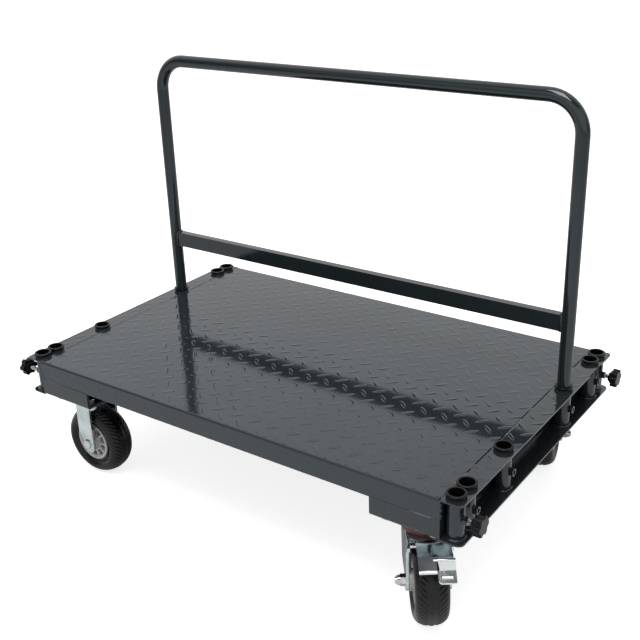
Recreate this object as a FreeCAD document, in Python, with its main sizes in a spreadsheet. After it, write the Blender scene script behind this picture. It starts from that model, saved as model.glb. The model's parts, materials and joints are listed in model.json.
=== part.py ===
import FreeCAD, Part
import os
import re
import Sketcher

# Platform cart: a tread plate deck between two end channels, a push bar in sockets,
# two rigid casters at the left end and two braked swivel casters at the right end.
# The origin is on the floor under the middle of the deck, +X along the deck, +Y to the rear, +Z up.

doc = FreeCAD.newDocument("PlatformCart")
sheet = doc.addObject("Spreadsheet::Sheet", "Sizes")

# Driving dimensions, in millimetres and degrees
SIZES = {
    "deck_length": 1000,
    "deck_depth": 630,
    "deck_thickness": 2.5,
    "deck_inside_radius": 1.5,
    "skirt_depth": 40,
    "channel_flange": 41.5,
    "channel_height": 76,
    "channel_thickness": 3,
    "channel_inside_radius": 1,
    "top_corner_radius": 7,
    "bottom_corner_radius": 12,
    "stiffener_width": 50,
    "stiffener_height": 35,
    "stiffener_thickness": 2.5,
    "stiffener_offset": 105,
    "bracket_width": 127,
    "bracket_reach": 150,
    "bracket_drop": 76,
    "bracket_thickness": 5,
    "bracket_inside_radius": 1,
    "socket_inset": 22.5,
    "socket_diameter": 30,
    "socket_wall": 1,
    "socket_stub": 4,
    "socket_end_inset": 23,
    "socket_pair_pitch": 34.6,
    "bar_socket_offset": 127,
    "weld_fit": 0.1,
    "bush_flange_diameter": 34,
    "bush_flange_thickness": 3.5,
    "bush_flange_round": 1.2,
    "bush_depth": 22,
    "bar_diameter": 25.4,
    "bar_wall": 1.5,
    "bar_rise": 536,
    "bar_bend_radius": 64,
    "slide_fit": 0.3,
    "crossbar_rise": 116,
    "crossbar_height": 32,
    "crossbar_width": 16,
    "crossbar_wall": 1.5,
    "weld_nut_across": 13,
    "weld_nut_height": 6.5,
    "stud_drop": 39,
    "stud_diameter": 8,
    "stud_length": 45,
    "stud_seat": 12,
    "knob_diameter": 36,
    "knob_thickness": 13,
    "knob_round": 2,
    "knob_hub_diameter": 18,
    "knob_hub_length": 6,
    "knob_lobes": 6,
    "knob_scallop_diameter": 14,
    "knob_scallop_depth": 3.5,
    "knob_stand_off": 8,
    "left_knob_backed_out": 14,
    "wheel_diameter": 150,
    "wheel_top_gap": 41,
    "wheel_trail": 44,
    "tyre_width": 57,
    "tyre_shoulder_width": 36,
    "tyre_shoulder_drop": 5,
    "tyre_side_radius": 30,
    "rim_diameter": 83,
    "rim_width": 48,
    "rim_flange": 3,
    "rim_flange_depth": 7.5,
    "rim_dish": 3,
    "rim_barrel": 4,
    "rim_web": 8,
    "spoke_count": 10,
    "spoke_width": 5,
    "spoke_depth": 44,
    "hub_diameter": 42,
    "boss_diameter": 37,
    "hub_length": 64,
    "bearing_diameter": 32,
    "bearing_width": 10,
    "axle_diameter": 12,
    "running_fit": 0.05,
    "axle_head_across": 18,
    "axle_head_height": 7.5,
    "rigid_head_height": 3,
    "lock_nut_height": 9,
    "lock_nut_collar": 5,
    "lock_nut_collar_diameter": 17,
    "axle_end": 3,
    "fork_gap": 66,
    "fork_thickness": 5,
    "fork_inside_radius": 2,
    "fork_tip_radius": 12.5,
    "fork_tip_drop": 6.5,
    "rigid_leg_front": 21,
    "rigid_leg_taper": 25,
    "rigid_tip_offset": 5.5,
    "plate_width": 115,
    "plate_depth": 128,
    "plate_thickness": 4,
    "plate_corner_radius": 10,
    "bolt_spacing_wide": 90,
    "bolt_spacing_deep": 100,
    "bolt_diameter": 10,
    "bolt_across": 16,
    "bolt_head_height": 6.4,
    "bolt_nut_height": 8,
    "bolt_end": 3,
    "raceway_diameter": 84,
    "raceway_height": 20,
    "seal_diameter": 88,
    "seal_height": 9,
    "seal_bore": 44,
    "seal_crown": 1,
    "kingpin_diameter": 14,
    "kingpin_collar_diameter": 26,
    "kingpin_collar_height": 7,
    "fork_front": 30,
    "fork_rear": 50,
    "fork_shoulder": 18,
    "fork_toe": 12,
    "fork_toe_rise": 8,
    "front_heading": -53.5,
    "rear_heading": 104,
    "pedal_thickness": 3,
    "pedal_pivot_back": 14,
    "pedal_pivot_rise": 1,
    "pedal_pin_diameter": 5,
    "pedal_ear_thickness": 2.5,
    "pedal_root_back": 12,
    "pedal_root_rise": 7,
    "pedal_flange": 10,
    "pedal_knee_back": 52,
    "pedal_knee_rise": 9,
    "pedal_tip_back": 68,
    "pedal_tip_rise": -8,
    "lip_left": 23.5,
    "lip_right": 5,
    "lip_diameter": 6,
    "tab_width": 29,
    "tab_gap": 1,
    "tab_pin_diameter": 3,
    "tab_barrel_diameter": 6,
    "tab_thickness": 2.5,
    "tab_back": 10,
    "tab_drop": 14,
    "tab_foot_back": 16,
    "tab_foot_drop": 13,
    "tab_waist": 3,
    "tab_corner_radius": 6,
    "tab_rib_diameter": 7,
    "shoe_back": 22,
    "shoe_length": 12,
    "shoe_width": 34,
    "shoe_thickness": 6,
}
for row, (alias, size) in enumerate(SIZES.items(), 1):
    sheet.set(f"A{row}", alias)
    sheet.set(f"B{row}", str(size))
    sheet.setAlias(f"B{row}", alias)
doc.recompute()

# Places worked out from the driving dimensions
CASTER_HEIGHT = "(wheel_diameter + wheel_top_gap)"
DECK_TOP = f"({CASTER_HEIGHT} + bracket_drop)"
HALF_LENGTH = "(deck_length / 2)"
HALF_DEPTH = "(deck_depth / 2)"
SEAM = f"({HALF_LENGTH} - channel_flange)"
CHANNEL_FLOOR = f"({DECK_TOP} - channel_height + channel_thickness)"
CASTER_X = f"({SEAM} - bracket_width / 2)"
CASTER_Y = f"({HALF_DEPTH} - bracket_reach / 2)"
SOCKET_X = f"({HALF_LENGTH} - socket_inset)"
SOCKET_TOP = f"({DECK_TOP} + socket_stub)"
OUTER_SOCKET = f"({HALF_DEPTH} - socket_end_inset)"
INNER_SOCKET = f"({OUTER_SOCKET} - socket_pair_pitch)"
SOCKETS = {
    "front_outer": f"-{OUTER_SOCKET}",
    "front_inner": f"-{INNER_SOCKET}",
    "front_single": "-bar_socket_offset",
    "rear_single": "bar_socket_offset",
    "rear_inner": INNER_SOCKET,
    "rear_outer": OUTER_SOCKET,
}
SIDES = {"left": -1, "right": 1}
ROWS = {"front": -1, "rear": 1}
STUD_Z = f"({DECK_TOP} - stud_drop)"
AXLE_Z = "(-wheel_top_gap - wheel_diameter / 2)"
FORK_TIP = f"({AXLE_Z} - fork_tip_drop - fork_tip_radius)"
FORK_OUTSIDE = "(fork_gap / 2 + fork_thickness)"
FORK_TOP = "(plate_thickness + raceway_height + seal_height)"

ALIAS = re.compile(r"[a-z_]+")
TURNS = {
    "X": ((0, 1, 0), 90),
    "-X": ((0, 1, 0), -90),
    "Y": ((1, 0, 0), -90),
    "-Y": ((1, 0, 0), 90),
    "Z": ((0, 0, 1), 0),
}
pieces = {}


def linked(formula):
    """The formula with its aliases written as references to the sheet."""
    return ALIAS.sub(lambda word: "Sizes." + word[0] if word[0] in SIZES else word[0], formula)


def number(formula):
    return float(sheet.evalExpression(formula))


def tie(thing, **formulas):
    for name, formula in formulas.items():
        thing.setExpression(name, linked(formula))
    return thing


def place(thing, x="0", y="0", z="0", axis="Z", heading=None):
    """Stand a thing at a point, its own Z turned to an axis, or turned about Z by a heading."""
    direction, angle = TURNS[axis]
    thing.Placement = FreeCAD.Placement(FreeCAD.Vector(), FreeCAD.Rotation(FreeCAD.Vector(*direction), angle))
    for letter, formula in zip("xyz", (x, y, z)):
        thing.setExpression(f"Placement.Base.{letter}", linked(formula))
    if heading:
        thing.setExpression("Placement.Rotation.Angle", linked(heading))
    return thing


def keep(label, thing):
    """Name a finished sub-part."""
    thing.Label = label
    pieces[label] = thing
    return thing


def rod(radius, length, x="0", y="0", z="0", axis="Z"):
    return place(tie(doc.addObject("Part::Cylinder", "Rod"), Radius=radius, Height=length), x, y, z, axis)


def block(size_x, size_y, size_z, x="0", y="0", z="0"):
    """A box centred on x and y that stands on z."""
    box = tie(doc.addObject("Part::Box", "Block"), Length=size_x, Width=size_y, Height=size_z)
    return place(box, f"{x} - ({size_x}) / 2", f"{y} - ({size_y}) / 2", z)


def hexagon(across, height, x="0", y="0", z="0", axis="Z"):
    prism = doc.addObject("Part::Prism", "Hexagon")
    prism.Polygon = 6
    return place(tie(prism, Circumradius=f"({across}) / sqrt(3)", Height=height), x, y, z, axis)


def cut(base, *tools):
    for tool in tools:
        result = doc.addObject("Part::Cut", "Cut")
        result.Base = base
        result.Tool = tool
        base = result
    return base


def fuse(*shapes):
    result = doc.addObject("Part::MultiFuse", "Fuse")
    result.Shapes = list(shapes)
    result.Refine = True
    return result


def group(*shapes):
    result = doc.addObject("Part::Compound", "Group")
    result.Links = list(shapes)
    return result


class Sheetwork:
    """One body that is drawn, padded or turned, and rounded."""

    def __init__(self, name):
        self.body = doc.addObject("PartDesign::Body", name)

    def sketch(self, role, rise):
        sketch = self.body.newObject("Sketcher::SketchObject", "Outline")
        plane = next(item for item in self.body.Origin.OriginFeatures if item.Role == role)
        sketch.AttachmentSupport = [(plane, "")]
        sketch.MapMode = "FlatFace"
        sketch.setExpression("AttachmentOffset.Base.z", linked(rise))
        return sketch

    def pin(self, sketch, item, end, corner):
        """Hold a point of the sketch at a corner given by two formulas."""
        for kind, formula in zip(("DistanceX", "DistanceY"), corner):
            index = sketch.addConstraint(Sketcher.Constraint(kind, -1, 1, item, end, number(formula)))
            sketch.setExpression(f"Constraints[{index}]", linked(formula))

    def side(self, sketch, here, there, bow):
        """A straight side, or an arc that bows to the left (+) or right (-); gives its two ends."""
        start, stop = (FreeCAD.Vector(number(corner[0]), number(corner[1]), 0) for corner in (here, there))
        if not bow:
            item = sketch.addGeometry(Part.LineSegment(start, stop), False)
            return item, 1, 2
        sign, formula = bow
        radius = number(formula)
        chord = stop - start
        left = FreeCAD.Vector(-chord.y, chord.x, 0).normalize()
        middle = (start + stop) * 0.5
        height = max(radius ** 2 - (chord.Length / 2) ** 2, 0) ** 0.5
        centre = middle - left * (sign * height)
        top = centre + left * (sign * radius)
        item = sketch.addGeometry(Part.Arc(start, top, stop), False)
        index = sketch.addConstraint(Sketcher.Constraint("Radius", item, radius))
        sketch.setExpression(f"Constraints[{index}]", linked(formula))
        begins = (sketch.getPoint(item, 1) - start).Length < (sketch.getPoint(item, 1) - stop).Length
        return (item, 1, 2) if begins else (item, 2, 1)

    def outline(self, role, corners, rise="0", closed=True):
        """Corners are pairs of formulas; a third entry (sign, radius) makes the side that follows an arc."""
        sketch = self.sketch(role, rise)
        count = len(corners)
        sides = []
        for index in range(count if closed else count - 1):
            here, there = corners[index], corners[(index + 1) % count]
            sides.append(self.side(sketch, here, there, here[2] if len(here) > 2 else None))
        for index, (item, first, last) in enumerate(sides):
            self.pin(sketch, item, first, corners[index][:2])
            if index + 1 < len(sides) or closed:
                following, start, _ = sides[(index + 1) % len(sides)]
                sketch.addConstraint(Sketcher.Constraint("Coincident", item, last, following, start))
            else:
                self.pin(sketch, item, last, corners[index + 1][:2])
        return sketch

    def circles(self, role, centres, diameters, rise="0"):
        sketch = self.sketch(role, rise)
        for centre in centres:
            for diameter in diameters:
                middle = FreeCAD.Vector(number(centre[0]), number(centre[1]), 0)
                circle = Part.Circle(middle, FreeCAD.Vector(0, 0, 1), number(diameter) / 2)
                item = sketch.addGeometry(circle, False)
                self.pin(sketch, item, 3, centre)
                index = sketch.addConstraint(Sketcher.Constraint("Diameter", item, number(diameter)))
                sketch.setExpression(f"Constraints[{index}]", linked(diameter))
        return sketch

    def feature(self, kind, profile, **formulas):
        feature = self.body.newObject("PartDesign::" + kind, kind)
        feature.Profile = profile
        return tie(feature, **formulas)

    def pad(self, profile, length, symmetric=False, reversed_way=False):
        feature = self.feature("Pad", profile, Length=length)
        feature.SideType = "Symmetric" if symmetric else "One side"
        feature.Reversed = reversed_way
        return feature

    def pocket(self, profile, length, reversed_way=False):
        doc.recompute()
        before = self.body.Shape.Volume
        feature = self.feature("Pocket", profile, Length=length)
        feature.Reversed = reversed_way
        doc.recompute()
        if not self.body.Shape.Volume < before:
            raise RuntimeError(f"a pocket of {self.body.Label} cuts nothing")
        return feature

    def turn(self, profile, axis="V_Axis"):
        feature = self.feature("Revolution", profile)
        feature.ReferenceAxis = (profile, [axis])
        feature.Angle = 360
        return feature

    def pattern(self, feature, role, count):
        pattern = self.body.newObject("PartDesign::PolarPattern", "Pattern")
        axis = next(item for item in self.body.Origin.OriginFeatures if item.Role == role)
        pattern.Originals = [feature]
        pattern.Axis = (axis, [""])
        pattern.Angle = 360
        tie(pattern, Occurrences=count)
        self.body.Tip = pattern
        return pattern

    def round(self, radius, *spots):
        """Round the edges whose corners all lie at a spot, such as {"x": formula, "z": formula}."""
        doc.recompute()
        base = self.body.Tip
        names = []
        for index, edge in enumerate(base.Shape.Edges, 1):
            for spot in spots:
                wanted = {letter: number(formula) for letter, formula in spot.items()}
                corners = [vertex.Point for vertex in edge.Vertexes]
                if all(abs(getattr(p, letter) - at) < 1e-4 for p in corners for letter, at in wanted.items()):
                    names.append(f"Edge{index}")
        if not names:
            raise RuntimeError(f"no edge of {self.body.Label} to round")
        fillet = self.body.newObject("PartDesign::Fillet", "Round")
        fillet.Base = (base, names)
        tie(fillet, Radius=radius)
        self.body.Tip = fillet
        return fillet


def deck_plate():
    """Tread plate bent down along its front and rear edges into two skirts."""
    piece = Sheetwork("DeckPlate")
    skirt_end = f"{DECK_TOP} - skirt_depth"
    under = f"{DECK_TOP} - deck_thickness"
    inside = f"({HALF_DEPTH} - deck_thickness)"
    section = piece.outline("YZ_Plane", [
        (f"-{HALF_DEPTH}", skirt_end), (f"-{HALF_DEPTH}", DECK_TOP),
        (HALF_DEPTH, DECK_TOP), (HALF_DEPTH, skirt_end),
        (inside, skirt_end), (inside, under), (f"-{inside}", under), (f"-{inside}", skirt_end)])
    piece.pad(section, f"2 * {SEAM}", symmetric=True)
    piece.round("deck_inside_radius + deck_thickness",
                {"y": HALF_DEPTH, "z": DECK_TOP}, {"y": f"-{HALF_DEPTH}", "z": DECK_TOP})
    piece.round("deck_inside_radius", {"y": inside, "z": under}, {"y": f"-{inside}", "z": under})
    keep("deck_plate", piece.body)


def end_channel(side, sign):
    """Bent channel along a short side, open outwards, with the socket holes in its top flange."""
    piece = Sheetwork("EndChannel")
    web, lip = f"{sign} * {SEAM}", f"{sign} * {HALF_LENGTH}"
    web_inside = f"{sign} * ({SEAM} + channel_thickness)"
    ceiling, floor = f"{DECK_TOP} - channel_thickness", CHANNEL_FLOOR
    bottom = f"{DECK_TOP} - channel_height"
    section = piece.outline("XZ_Plane", [
        (web, DECK_TOP), (lip, DECK_TOP), (lip, ceiling), (web_inside, ceiling),
        (web_inside, floor), (lip, floor), (lip, bottom), (web, bottom)])
    piece.pad(section, "deck_depth", symmetric=True)
    piece.round("channel_inside_radius + channel_thickness",
                {"x": web, "z": DECK_TOP}, {"x": web, "z": bottom})
    piece.round("channel_inside_radius", {"x": web_inside, "z": ceiling}, {"x": web_inside, "z": floor})
    round_corners(piece, "top_corner_radius", lip, (DECK_TOP, ceiling))
    round_corners(piece, "bottom_corner_radius", lip, (floor, bottom))
    centres = [(f"{sign} * {SOCKET_X}", y) for y in SOCKETS.values()]
    holes = piece.circles("XY_Plane", centres, ["socket_diameter + 2 * weld_fit"], rise=DECK_TOP)
    piece.pocket(holes, "2 * channel_thickness")
    keep(f"{side}_end_channel", piece.body)


def round_corners(piece, radius, lip, levels):
    """Round the two upright corner edges of one flange, which run between two levels."""
    doc.recompute()
    heights = sorted(number(level) for level in levels)
    base = piece.body.Tip
    names = []
    for index, edge in enumerate(base.Shape.Edges, 1):
        ends = sorted(vertex.Point.z for vertex in edge.Vertexes)
        upright = len(ends) == 2 and abs(ends[0] - heights[0]) < 1e-4 and abs(ends[1] - heights[1]) < 1e-4
        if upright and all(abs(vertex.Point.x - number(lip)) < 1e-4 for vertex in edge.Vertexes):
            names.append(f"Edge{index}")
    fillet = piece.body.newObject("PartDesign::Fillet", "Corner")
    fillet.Base = (base, names)
    tie(fillet, Radius=radius)
    piece.body.Tip = fillet


def stiffener(row, sign):
    """Bent channel under the deck from web to web, welded on by its two upright legs."""
    piece = Sheetwork("Stiffener")
    top = f"{DECK_TOP} - deck_thickness"
    bottom = f"{top} - stiffener_height"
    floor = f"{bottom} + stiffener_thickness"
    near, far = "-stiffener_width / 2", "stiffener_width / 2"
    near_in, far_in = "stiffener_thickness - stiffener_width / 2", "stiffener_width / 2 - stiffener_thickness"
    section = piece.outline("YZ_Plane", [
        (near, bottom), (far, bottom), (far, top), (far_in, top),
        (far_in, floor), (near_in, floor), (near_in, top), (near, top)])
    piece.pad(section, f"2 * {SEAM}", symmetric=True)
    piece.round("stiffener_thickness + deck_inside_radius", {"y": near, "z": bottom}, {"y": far, "z": bottom})
    keep(f"{row}_stiffener", place(piece.body, y=f"{sign} * stiffener_offset"))


def caster_bracket(side, row, sign_x, sign_y):
    """Bent saddle under a deck corner: a front plate below the skirt, a floor for the caster, a rear leg."""
    piece = Sheetwork("CasterBracket")
    front, back = f"{sign_y} * {HALF_DEPTH}", f"{sign_y} * ({HALF_DEPTH} - bracket_reach)"
    front_in = f"{sign_y} * ({HALF_DEPTH} - bracket_thickness)"
    back_in = f"{sign_y} * ({HALF_DEPTH} - bracket_reach + bracket_thickness)"
    floor = f"{CASTER_HEIGHT} + bracket_thickness"
    skirt_end, under = f"{DECK_TOP} - skirt_depth", f"{DECK_TOP} - deck_thickness"
    section = piece.outline("YZ_Plane", [
        (front, CASTER_HEIGHT), (back, CASTER_HEIGHT), (back, under), (back_in, under),
        (back_in, floor), (front_in, floor), (front_in, skirt_end), (front, skirt_end)])
    piece.pad(section, "bracket_width", symmetric=True)
    piece.round("bracket_inside_radius + bracket_thickness",
                {"y": front, "z": CASTER_HEIGHT}, {"y": back, "z": CASTER_HEIGHT})
    piece.round("bracket_inside_radius", {"y": front_in, "z": floor}, {"y": back_in, "z": floor})
    centres = [(x, f"{sign_y} * {CASTER_Y} + {y}") for x, y in bolt_places()]
    holes = piece.circles("XY_Plane", centres, ["bolt_diameter + 2 * slide_fit"], rise=floor)
    piece.pocket(holes, "2 * bracket_thickness")
    keep(f"{side}_{row}_caster_bracket", place(piece.body, x=f"{sign_x} * {CASTER_X}"))


def bolt_places():
    """The four bolt centres of a caster plate, from its middle."""
    signs = (-1, 1)
    return [(f"{a} * bolt_spacing_wide / 2", f"{b} * bolt_spacing_deep / 2") for a in signs for b in signs]


def socket_tubes(side, sign):
    """Six upright tubes through the top flange, standing on the bottom one, bored for the studs."""
    tubes = []
    for y in SOCKETS.values():
        x = f"{sign} * {SOCKET_X}"
        length = f"{SOCKET_TOP} - {CHANNEL_FLOOR}"
        outside = rod("socket_diameter / 2", length, x, y, CHANNEL_FLOOR)
        inside = rod("socket_diameter / 2 - socket_wall", length, x, y, CHANNEL_FLOOR)
        outwards = "X" if sign > 0 else "-X"
        hole = rod("stud_diameter / 2 + slide_fit", "socket_diameter", x, y, STUD_Z, outwards)
        tubes.append(cut(outside, inside, hole))
    keep(f"{side}_socket_tubes", group(*tubes))


def socket_bushes(side, sign):
    """Flanged plastic liners pressed into the tubes from above."""
    bushes = []
    bore = "bar_diameter / 2 + slide_fit"
    sleeve = "socket_diameter / 2 - socket_wall - weld_fit"
    flange, top = "bush_flange_diameter / 2", "bush_flange_thickness"
    for y in SOCKETS.values():
        piece = Sheetwork("Bush")
        section = piece.outline("XZ_Plane", [
            (bore, "-bush_depth"), (sleeve, "-bush_depth"), (sleeve, "0"), (flange, "0"),
            (flange, f"{top} - bush_flange_round", (-1, "bush_flange_round")),
            (f"{flange} - bush_flange_round", top), (bore, top)])
        piece.turn(section)
        bushes.append(place(piece.body, f"{sign} * {SOCKET_X}", y, SOCKET_TOP))
    keep(f"{side}_socket_bushes", group(*bushes))


def weld_nuts(side, sign):
    """Hexagon nuts welded on the outer side of each tube, seated round it."""
    nuts = []
    axis = "X" if sign > 0 else "-X"
    for y in SOCKETS.values():
        x = f"{sign} * {SOCKET_X}"
        height = "socket_diameter / 2 + weld_nut_height"
        prism = hexagon("weld_nut_across", height, x, y, STUD_Z, axis)
        bore = rod("stud_diameter / 2 + slide_fit", height, x, y, STUD_Z, axis)
        tube = rod("socket_diameter / 2", "channel_height", x, y, CHANNEL_FLOOR)
        nuts.append(cut(prism, bore, tube))
    keep(f"{side}_weld_nuts", group(*nuts))


def clamp_screw(side, row, sign_x, sign_y):
    """Star knob with a threaded stud that clamps whatever stands in an outer socket."""
    backed_out = "left_knob_backed_out" if side == "left" else "0"
    seat = f"{SOCKET_X} + socket_diameter / 2 + weld_nut_height + knob_stand_off + {backed_out}"
    y = f"{sign_y} * {OUTER_SOCKET}"
    axis = "X" if sign_x > 0 else "-X"
    chamfer = "stud_diameter / 8"
    stud = Sheetwork("Stud")
    radius, end = "stud_diameter / 2", "stud_seat - stud_length"
    section = stud.outline("XZ_Plane", [
        ("0", end), (f"{radius} - {chamfer}", end), (radius, f"{end} + {chamfer}"),
        (radius, "stud_seat"), ("0", "stud_seat")])
    stud.turn(section)
    keep(f"{side}_{row}_clamp_stud", place(stud.body, f"{sign_x} * ({seat})", y, STUD_Z, axis))
    knob = Sheetwork("Knob")
    disc = "knob_hub_length"
    face = f"{disc} + knob_thickness"
    knob.pad(knob.circles("XY_Plane", [("0", "0")], ["knob_hub_diameter"]), f"{disc} + knob_round")
    knob.pad(knob.circles("XY_Plane", [("0", "0")], ["knob_diameter"], rise=disc), "knob_thickness")
    reach = "(knob_diameter + knob_scallop_diameter) / 2 - knob_scallop_depth"
    notch = knob.circles("XY_Plane", [(reach, "0")], ["knob_scallop_diameter"], rise=face)
    scallop = knob.pocket(notch, "knob_thickness")
    knob.pattern(scallop, "Z_Axis", "knob_lobes")
    knob.round("knob_round", {"z": face}, {"z": disc, "y": "0"})
    bore = knob.circles("XY_Plane", [("0", "0")], ["stud_diameter + 2 * running_fit"])
    knob.pocket(bore, "stud_seat + slide_fit", reversed_way=True)
    keep(f"{side}_{row}_clamp_knob", place(knob.body, f"{sign_x} * ({seat})", y, STUD_Z, axis))


def push_bar():
    """Round tube bent to an upturned U, its legs standing on the channel floors."""
    piece = Sheetwork("PushBar")
    top = f"({DECK_TOP} + bar_rise)"
    legs_end = f"({top} - bar_bend_radius)"
    bend_x = f"({SOCKET_X} - bar_bend_radius)"
    path = piece.outline("XZ_Plane", [
        (f"-{SOCKET_X}", CHANNEL_FLOOR), (f"-{SOCKET_X}", legs_end, (1, "bar_bend_radius")),
        (f"-{bend_x}", top), (bend_x, top, (1, "bar_bend_radius")),
        (SOCKET_X, legs_end), (SOCKET_X, CHANNEL_FLOOR)], closed=False)
    diameters = ["bar_diameter", "bar_diameter - 2 * bar_wall"]
    section = piece.circles("XY_Plane", [(f"-{SOCKET_X}", "0")], diameters, rise=CHANNEL_FLOOR)
    pipe = piece.feature("AdditivePipe", section)
    pipe.Spine = path
    keep("push_bar", place(piece.body, y="bar_socket_offset"))


def crossbar():
    """Rectangular tube welded between the legs of the push bar, its ends notched round them."""
    bottom = f"{DECK_TOP} + crossbar_rise"
    length = f"2 * {SOCKET_X}"
    outside = block(length, "crossbar_width", "crossbar_height", y="bar_socket_offset", z=bottom)
    inside = block(length, "crossbar_width - 2 * crossbar_wall", "crossbar_height - 2 * crossbar_wall",
                   y="bar_socket_offset", z=f"{bottom} + crossbar_wall")
    legs = [rod("bar_diameter / 2", "2 * crossbar_height", f"{sign} * {SOCKET_X}", "bar_socket_offset",
                f"{bottom} - crossbar_height / 2") for sign in SIDES.values()]
    keep("push_bar_crossbar", cut(outside, inside, *legs))


def at_caster(thing, sign_x, sign_y, heading=None):
    """Stand a thing drawn from the middle of a caster plate's top face at its corner of the cart."""
    return place(thing, f"{sign_x} * {CASTER_X}", f"{sign_y} * {CASTER_Y}", CASTER_HEIGHT, heading=heading)


def caster_plate(piece):
    """The rectangular plate of a caster, with rounded corners, drawn downwards from z = 0."""
    wide, deep = "plate_width / 2", "plate_depth / 2"
    corners = [(f"-{wide}", f"-{deep}"), (wide, f"-{deep}"), (wide, deep), (f"-{wide}", deep)]
    piece.pad(piece.outline("XY_Plane", corners), "plate_thickness", reversed_way=True)
    piece.round("plate_corner_radius", *[{"x": x, "y": y} for x, y in corners])
    holes = piece.circles("XY_Plane", bolt_places(), ["bolt_diameter + 2 * slide_fit"])
    piece.pocket(holes, "plate_thickness")


def bent_fork(top, front, rear):
    """The U of a fork before its legs are trimmed: a top web and two legs, bent from one strip."""
    piece = Sheetwork("ForkStrip")
    outside, inside = FORK_OUTSIDE, "(fork_gap / 2)"
    roof, ceiling = f"-{top}", f"-({top} + fork_thickness)"
    section = piece.outline("YZ_Plane", [
        (f"-{outside}", FORK_TIP), (f"-{outside}", roof), (outside, roof), (outside, FORK_TIP),
        (inside, FORK_TIP), (inside, ceiling), (f"-{inside}", ceiling), (f"-{inside}", FORK_TIP)],
        rise=f"-{front}")
    piece.pad(section, f"{front} + {rear}")
    piece.round("fork_inside_radius + fork_thickness",
                {"y": outside, "z": roof}, {"y": f"-{outside}", "z": roof})
    return piece.body


def leg_tip(x):
    """The rounded end of a leg below an axle at x: from its leading side round to its trailing side."""
    level = f"{AXLE_Z} - fork_tip_drop"
    bow = (-1, "fork_tip_radius")
    return [(f"{x} - fork_tip_radius", AXLE_Z), (f"{x} - fork_tip_radius", level, bow), (x, FORK_TIP, bow),
            (f"{x} + fork_tip_radius", level), (f"{x} + fork_tip_radius", AXLE_Z)]


def trimmed_fork(strip, x, corners):
    """Trim a bent strip to the side view of its legs and bore it for an axle at x."""
    side = Sheetwork("ForkSide")
    side.pad(side.outline("XZ_Plane", corners), f"4 * {FORK_OUTSIDE}", symmetric=True)
    trimmed = doc.addObject("Part::Common", "Trimmed")
    trimmed.Base = strip
    trimmed.Tool = side.body
    return cut(trimmed, across_fork("axle_diameter / 2 + weld_fit", x, AXLE_Z))


def across_fork(radius, x, z):
    """A rod that runs across the whole fork, for boring it."""
    return rod(radius, f"4 * {FORK_OUTSIDE}", x, f"-2 * {FORK_OUTSIDE}", z, "Y")


def rigid_fork(row, sign):
    """Rigid caster housing: the plate and a fork whose legs taper on one side to the axle."""
    plate = Sheetwork("RigidPlate")
    caster_plate(plate)
    rear, top = "(rigid_tip_offset + fork_tip_radius)", "-plate_thickness"
    strip = bent_fork("plate_thickness", "rigid_leg_front", rear)
    legs = trimmed_fork(strip, "0", [
        ("-rigid_leg_front", top), ("-rigid_leg_front", f"{AXLE_Z} + rigid_leg_taper"),
        *leg_tip("rigid_tip_offset"), (rear, top)])
    keep(f"left_{row}_rigid_fork", at_caster(fuse(plate.body, legs), -1, sign))


def wheel(side, row, sign_x, sign_y, trail, heading):
    """Spoked rim with an air tyre and two ball bearings, turning about Y through the axle."""
    rim_radius = "(rim_diameter / 2)"
    barrel = f"({rim_radius} - rim_flange_depth)"
    seat = f"({barrel} + rim_barrel)"
    half_rim, half_seat = "(rim_width / 2)", "(rim_width / 2 - rim_flange)"
    half_hub, half_web, half_spoke = "(hub_length / 2)", "(rim_web / 2)", "(spoke_depth / 2)"
    boss, hub, bore = "(boss_diameter / 2)", "(hub_diameter / 2)", "(bearing_diameter / 2)"
    upper = [(bore, half_hub), (boss, half_hub), (boss, half_spoke), (hub, half_spoke), (hub, half_web),
             (barrel, half_web), (barrel, half_spoke), (f"{barrel} + rim_dish", half_rim),
             (rim_radius, half_rim), (rim_radius, half_seat), (seat, half_seat)]
    lower = [(x, f"-{y}") for x, y in reversed(upper)]
    rim = Sheetwork("Rim")
    rim.turn(rim.outline("XY_Plane", upper + lower))
    spoke_in, spoke_out = f"{hub} - spoke_width / 4", f"{barrel} + rim_barrel / 2"
    spoke = rim.pad(rim.outline("XZ_Plane", [
        (spoke_in, "-spoke_width / 2"), (spoke_out, "-spoke_width / 2"),
        (spoke_out, "spoke_width / 2"), (spoke_in, "spoke_width / 2")]), "spoke_depth", symmetric=True)
    rim.pattern(spoke, "Y_Axis", "spoke_count")
    tyre_seat, bead = f"({seat} + weld_fit)", f"({rim_radius} + weld_fit)"
    half_bead, half_tyre = f"({half_seat} - weld_fit)", "(tyre_width / 2)"
    shoulder, half_shoulder = "(wheel_diameter / 2 - tyre_shoulder_drop)", "(tyre_shoulder_width / 2)"
    widest = f"(({rim_radius} + wheel_diameter / 2) / 2)"
    crown = f"({half_shoulder} ^ 2 + tyre_shoulder_drop ^ 2) / (2 * tyre_shoulder_drop)"
    bow = (-1, "tyre_side_radius")
    tyre = Sheetwork("Tyre")
    tyre.turn(tyre.outline("XY_Plane", [
        (tyre_seat, f"-{half_bead}"), (bead, f"-{half_bead}", bow), (widest, f"-{half_tyre}", bow),
        (shoulder, f"-{half_shoulder}", (-1, crown)), (shoulder, half_shoulder, bow),
        (widest, half_tyre, bow), (bead, half_bead), (tyre_seat, half_bead)]))
    bearings = []
    for start in (f"{half_hub} - bearing_width", f"-{half_hub}"):
        ring = rod("bearing_diameter / 2 - running_fit", "bearing_width", y=start, axis="Y")
        inner = rod("axle_diameter / 2 + running_fit", "bearing_width", y=start, axis="Y")
        bearings.append(cut(ring, inner))
    for name, thing in (("rim", rim.body), ("tyre", tyre.body), ("bearings", group(*bearings))):
        keep(f"{side}_{row}_wheel_{name}", at_axle(thing, sign_x, sign_y, trail, heading))


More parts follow.
